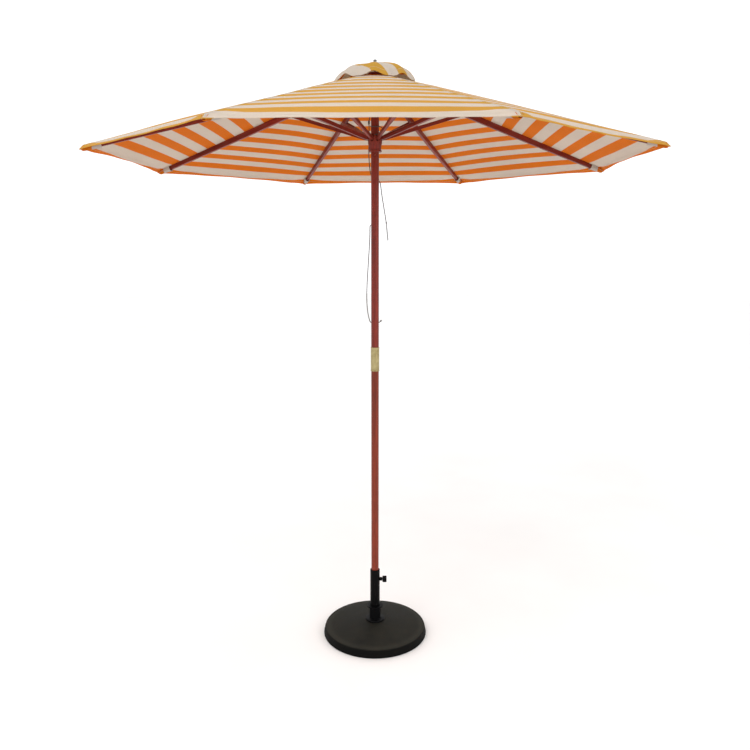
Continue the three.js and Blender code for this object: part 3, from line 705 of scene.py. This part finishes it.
def pocket_piece(arm, under):
    """The cloth pocket sewn under the hem's corner, that the rib's end sits in."""
    tip = (RIB_TIP_R - HUB_R) / math.cos(RIB_SLOPE)
    stations = [                     # (from the tip, half width, depth, top)
        (-POCKET_LENGTH, 0.0128, 0.0235, 0.0086),
        (-POCKET_LENGTH + 0.003, 0.0126, 0.0232, 0.0088),
        (-POCKET_LENGTH + 0.006, 0.0116, 0.0220, 0.0090),
        (-0.040, 0.0110, 0.0208, 0.0094),
        (-0.020, 0.0106, 0.0196, 0.0094),
        (-0.006, 0.0104, 0.0184, 0.0090),
        (0.001, 0.0098, 0.0160, 0.0070),
        (0.005, 0.0084, 0.0100, 0.0030),
        (0.007, 0.0070, 0.0040, -0.0005),
    ]
    around = 16
    points, cloth_uv, sewn_uv = [], [], []
    turn = Matrix.Rotation(arm_angle(arm), 4, "Z")
    for out, half, depth, high in stations:
        for k in range(around + 1):
            angle = math.pi * k / around
            y = -half * math.cos(angle)
            h = high - depth * math.sin(angle) ** 0.55
            x = HUB_R + (tip + out) * math.cos(RIB_SLOPE) + h * math.sin(RIB_SLOPE)
            z = HUB_Z - (tip + out) * math.sin(RIB_SLOPE) + h * math.cos(RIB_SLOPE)
            points.append(turn @ Vector((x, y, z)))
            cloth_uv.append((0.03 * angle, x * COS_HALF + 0.004 * (arm % 3)))
            edge = min(k, around - k) / around * POCKET_EDGE
            sewn_uv.append((edge + 0.002, out + POCKET_LENGTH + 0.006))
    faces = [tuple(reversed(f)) for f in grid_faces(len(stations), around + 1)]
    layers = per_corner(faces, cloth=cloth_uv, sewn=sewn_uv)
    piece = mesh_piece(f"rib_pocket_{arm}", points, faces, [under], layers)
    solid = piece.modifiers.new("cloth", "SOLIDIFY")
    solid.thickness = CLOTH
    solid.offset = 0
    solid.use_even_offset = True
    smooth = piece.modifiers.new("smooth", "SUBSURF")
    smooth.levels = smooth.render_levels = 1
    return piece


def build_canopy(top, under):
    for arm in range(1, ARMS + 1):
        cloth = canopy_piece(arm, top, under)
        pocket = pocket_piece(arm, under)
        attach(cloth, f"arm_{arm}")
        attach(pocket, f"arm_{arm}")
        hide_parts(f"canopy_{arm}")
        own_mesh(cloth)


# ---- vent cap ---------------------------------------------------------------------
CAP_PUFF = 0.0025
CAP_LEAN = 0.0035                   # the wind has pushed the cap up on one side
CAP_SEAM_START = 0.03               # no stitches show nearer the finial
CAP_SEAM_HALF = 0.006
CAP_HEM = 0.01


def cap_height(radius, in_gore, side):
    """A puffy cone that comes down to the ribs and lifts between them.

    side runs from -1 to 1 across the cap.
    """
    out = max(0, (radius - CAP_HOLE_R) / (CAP_R - CAP_HOLE_R))
    lift = abs(math.cos(math.pi * in_gore / ARM_STEP))
    fall = 0.44 * out + 0.1 * out ** 2 + 0.46 * out ** 7
    puff = (CAP_PUFF * lift + CAP_LEAN * side) * math.sin(math.pi * min(1, out)) ** 0.7
    arch = CAP_ARCH * lift ** 3 * out ** 3
    return CAP_TOP - 0.0006 - (CAP_TOP - CAP_CORNER_Z) * fall + arch + puff


def cap_piece(arm, top, under):
    """One eighth of the vent cap, from mid-gore to mid-gore."""
    rows, across = 30, 12
    grid, cloth_uv, sewn_uv, halves = [], [], [], []
    for i in range(rows + 1):
        hem_share = i / rows
        radius = CAP_HOLE_R + (CAP_R - CAP_HOLE_R) * hem_share
        row = []
        for j in range(-across - 1, across + 2):
            turn = j / across * HALF_STEP
            in_gore = (HALF_STEP if j >= 0 else -HALF_STEP) - turn
            r = radius * (1 + (COS_HALF / math.cos(in_gore) - 1) * hem_share)
            angle = arm_angle(arm) + turn
            x, y = r * math.cos(angle), r * math.sin(angle)
            row.append(Vector((x, y, cap_height(radius, in_gore, math.cos(angle)))))
            if abs(j) > across:
                continue
            cloth_uv.append(((x - y) / math.sqrt(2) + 30,
                             ORANGE_CENTRE + (x + y) / math.sqrt(2)))
            from_seam = abs(r * math.sin(turn))
            from_hem = CAP_R - radius
            sewn_uv.append((from_seam + (radius < CAP_SEAM_START), from_hem))
            sewn = from_seam < CAP_SEAM_HALF or from_hem < CAP_HEM
            halves.append(0.9 * CLOTH if sewn else CLOTH / 2)
        grid.append(row)
    quads = grid_faces(rows + 1, 2 * across + 1)
    layers = per_corner(quads, cloth=cloth_uv, sewn=sewn_uv)
    return shell(f"vent_cap_cloth_{arm}", grid, halves, [top, under], layers)


def build_cap(top, under):
    for arm in range(1, ARMS + 1):
        cap = cap_piece(arm, top, under)
        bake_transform(cap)
        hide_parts("vent_cap")


# ---- cords ------------------------------------------------------------------------
KNOT = (-0.024, 0, 2.181)

HOIST_ROUTE = [
    (-0.0184, 0, 2.217),
    (-0.0186, 0, 2.210),
    (-0.021, 0, 2.200),
    (-0.0232, 0, 2.193),
    (-0.024, 0, 2.1873),
]
RUNNER_ROUTE = [
    (-0.0196, -0.0034, 2.167),
    (-0.017, -0.0105, 2.164),
    (-0.009, -0.0176, 2.163),
    (0.002, -0.0196, 2.163),
    (0.014, -0.0186, 2.163),
    (0.024, -0.016, 2.161),
    (0.030, -0.0135, 2.155),
    (0.0295, -0.0125, 2.147),
    (0.024, -0.014, 2.140),
    (0.017, -0.018, 2.136),
    (0.008, -0.0215, 2.133),
    (-0.002, -0.023, 2.1315),
]
PULL_ROUTE = [
    (-0.024, 0, 2.1747),
    (-0.0236, 0, 2.150),
    (-0.0234, 0, 2.130),
    (-0.024, 0, 2.100),
    (-0.025, 0, 2.068),
    (-0.0236, 0.001, 2.035),
    (-0.0214, 0.0025, 2.008),
    (-0.0185, 0.007, 1.988),
    (-0.012, 0.0154, 1.974),
    (-0.002, 0.0196, 1.966),
    (0.009, 0.0184, 1.960),
    (0.0175, 0.0115, 1.954),
    (0.0216, 0.006, 1.944),
    (0.0244, 0.004, 1.925),
    (0.0285, 0.0024, 1.895),
    (0.0335, 0.0014, 1.865),
    (0.0385, 0.0007, 1.835),
    (0.043, 0.0003, 1.808),
    (0.0456, 0, 1.791),
]
TIE_ROUTE = [
    (-0.009, 0, 1.782),
    (-0.0164, 0, 1.782),
    (-0.0196, 0, 1.779),
    (-0.0206, 0, 1.768),
    (-0.021, 0, 1.745),
    (-0.0224, 0, 1.710),
    (-0.0255, 0, 1.660),
    (-0.029, 0, 1.605),
    (-0.0324, 0, 1.550),
    (-0.034, 0, 1.500),
    (-0.0332, 0, 1.462),
    (-0.0304, 0, 1.432),
    (-0.026, 0, 1.408),
    (-0.0216, 0, 1.393),
    (-0.0174, 0, 1.3868),
    (-0.008, 0, 1.386),
    (0.008, 0, 1.386),
    (0.0166, 0, 1.3864),
    (0.022, -0.001, 1.391),
    (0.0275, -0.002, 1.396),
]


def build_cords(cord):
    def declare(piece, line, node, far_end, lay, **more):
        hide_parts(node)

    knot = barrel_knot("lift_knot", KNOT, (0, 0, 1), 4,
                       coil=0.0026, radius=CORD_R, material=cord)
    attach(knot, "knot")
    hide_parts("cord_knot")

    hoist, line = rope("hoist_line", HOIST_ROUTE, CORD_R, cord)
    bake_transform(hoist)
    declare(hoist, line, "hoist_cord", "knot", "taut", with_pieces=[knot])

    loop, line = rope("runner_line", RUNNER_ROUTE, CORD_R, cord)
    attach(loop, "slider")
    declare(loop, line, "runner_cord", "object", "loose")

    pull, line = rope("pull_line", PULL_ROUTE, CORD_R, cord)
    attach(pull, "knot")
    whipping = barrel_knot("pin_whipping", line[-1], line[-1] - line[-4], 5,
                           coil=0.0019, radius=0.0007, material=cord)
    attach(whipping, "knot")
    declare(pull, line, "pull_cord", "fitting", "hanging",
            with_pieces=[whipping, frame["nodes"]["locking_pin"]])

    tie, line = rope("tie_line", TIE_ROUTE, CORD_R, cord)
    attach(tie, "upper_pole")
    stopper = barrel_knot("tie_knot", line[-4], line[-1] - line[-5], 2,
                          coil=0.0021, radius=0.0014, material=cord)
    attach(stopper, "upper_pole")
    declare(tie, line, "tie_cord", "knot", "hanging", with_pieces=[stopper])


# ---- CAD nodes --------------------------------------------------------------------
def dress(node, material, edge=None, bevel=0.0):
    """Gives a CAD node its material and, with a bevel, soft edges in one of their own."""
    obj = frame["nodes"][node]
    custom = obj.data.attributes.get("custom_normal")
    if custom is not None:
        obj.data.attributes.remove(custom)
    obj.data.materials.clear()
    obj.data.materials.append(material)
    obj.data.materials.append(edge or material)
    obj.data.polygons.foreach_set("use_smooth", [True] * len(obj.data.polygons))
    weld = obj.modifiers.new("weld", "WELD")
    weld.merge_threshold = 0.00002
    plain = obj.modifiers.new("plain", "DECIMATE")
    plain.decimate_type = "DISSOLVE"
    plain.angle_limit = math.radians(0.6)
    if bevel:
        soft = obj.modifiers.new("soft", "BEVEL")
        soft.width = bevel
        soft.segments = 2
        soft.limit_method = "ANGLE"
        soft.angle_limit = math.radians(35)
        soft.material = 1
        soft.use_clamp_overlap = True
    normals = obj.modifiers.new("normals", "WEIGHTED_NORMAL")
    normals.keep_sharp = False


def dress_frame():
    pole_light, pole_dark = srgb(150, 55, 27), srgb(94, 31, 15)
    red_light, red_dark = srgb(152, 50, 34), srgb(96, 30, 20)
    upright = (0, math.radians(90), 0)
    lower = wood_material("pole_wood_low", pole_light, pole_dark, (0.3, 0.1, 0), upright)
    upper = wood_material("pole_wood_high", red_light, red_dark, (0.1, 0.2, 0), upright)
    turned = wood_material("crown_wood", red_light, srgb(84, 32, 25), (0, 0, 0), upright)
    brass = metal_material("brass", srgb(180, 166, 122), srgb(134, 118, 76), 0.28)
    steel = metal_material("steel", srgb(138, 138, 136), srgb(92, 91, 88), 0.32)
    plastic = plastic_material("black_plastic", srgb(8, 8, 9))
    wheel = plastic_material("wheel_plastic", srgb(38, 37, 36), 0.5)
    coated = coated_steel_material("coated_steel", srgb(6, 6, 6))
    stone = stone_material("cast_stone")

    dress("pole_lower", lower)
    dress("pole_upper", upper)
    dress("hub", turned, bevel=0.0006)
    dress("runner", turned, bevel=0.0006)
    for node in ("hub_wire", "runner_wire", "pulley_axle", "lock_pad", "lock_screw"):
        dress(node, steel)
    dress("locking_pin", steel, bevel=0.0005)
    dress("finial", steel, bevel=0.0005)
    dress("pole_ferrule", brass, bevel=0.0004)
    dress("pulley_wheel", wheel, bevel=0.0003)
    dress("base_weight", stone, bevel=0.0022)
    dress("base_socket", plastic, bevel=0.0008)
    dress("tube_liner", plastic, bevel=0.0004)
    dress("lock_knob", plastic, bevel=0.0006)
    dress("base_tube", coated, bevel=0.0004)
    dress("lock_boss", coated, bevel=0.0006)

    for arm in range(1, ARMS + 1):
        angle = arm_angle(arm)
        place = (HUB_R * math.cos(angle), HUB_R * math.sin(angle), HUB_Z + 0.37 * arm)
        woods = {}
        for part, slope in (("rib", RIB_SLOPE), ("strut", -STRUT_SLOPE)):
            for kind, light, dark in (("face", red_light, red_dark),
                                      ("edge", srgb(122, 50, 40), srgb(78, 30, 23))):
                woods[part, kind] = wood_material(f"{part}_wood_{kind}_{arm}", light, dark,
                                                  place, (0, slope, angle))
        dress(f"rib_{arm}", woods["rib", "face"], woods["rib", "edge"], 0.0011)
        dress(f"strut_{arm}", woods["strut", "face"], woods["strut", "edge"], 0.0010)
        dress(f"strut_pin_{arm}", brass, bevel=0.0004)


# ---- stage ------------------------------------------------------------------------
def floor_piece(radius=24.0, rings=6, around=48):
    points = [(0, 0, 0)]
    for i in range(1, rings + 1):
        for k in range(around):
            angle = 2 * math.pi * k / around
            points.append((radius * i / rings * math.cos(angle),
                           radius * i / rings * math.sin(angle), 0))
    faces = [(0, 1 + k, 1 + (k + 1) % around) for k in range(around)]
    for i in range(rings - 1):
        for k in range(around):
            a, b = 1 + i * around + k, 1 + i * around + (k + 1) % around
            faces.append((a, a + around, b + around, b))
    return mesh_piece("floor", points, faces, [floor_material("floor")])


def softbox(name, place, target, size, power):
    data = bpy.data.lights.new(name, "AREA")
    data.shape = "DISK"
    data.size = size
    data.energy = power
    light = bpy.data.objects.new(name, data)
    light.location = place
    aim = Vector(target) - Vector(place)
    light.rotation_euler = aim.to_track_quat("-Z", "Y").to_euler()
    bpy.context.scene.collection.objects.link(light)


def build_stage():
    floor_piece()

    world = bpy.data.worlds.new("studio")
    bpy.context.scene.world = world
    world.use_nodes = True
    background = world.node_tree.nodes["Background"]
    background.inputs["Color"].default_value = srgb(254, 254, 255)
    background.inputs["Strength"].default_value = 1.2

    softbox("key_light", (-2.2, -3.6, 5.2), (0, 0, 1.6), 2.6, 85)
    softbox("fill_light", (3.4, -3.0, 2.6), (0, 0, 1.4), 2.4, 24)
    bpy.context.scene.view_settings.view_transform = "Standard"


make_camera()
build_cords(cord_material("twisted_cord"))
# One canvas in two copies: the underside copy's deeper orange is painted light shining through
# the cloth, and its slightly darker white is painted shade under the canopy.
cloth_top = cloth_material("canvas_top", srgb(212, 170, 70), srgb(221, 212, 200))
cloth_under_painted_light = cloth_material("canvas_under_painted_light", srgb(224, 124, 22), srgb(216, 207, 199))
build_canopy(cloth_top, cloth_under_painted_light)
build_cap(cloth_top, cloth_under_painted_light)
dress_frame()
build_stage()
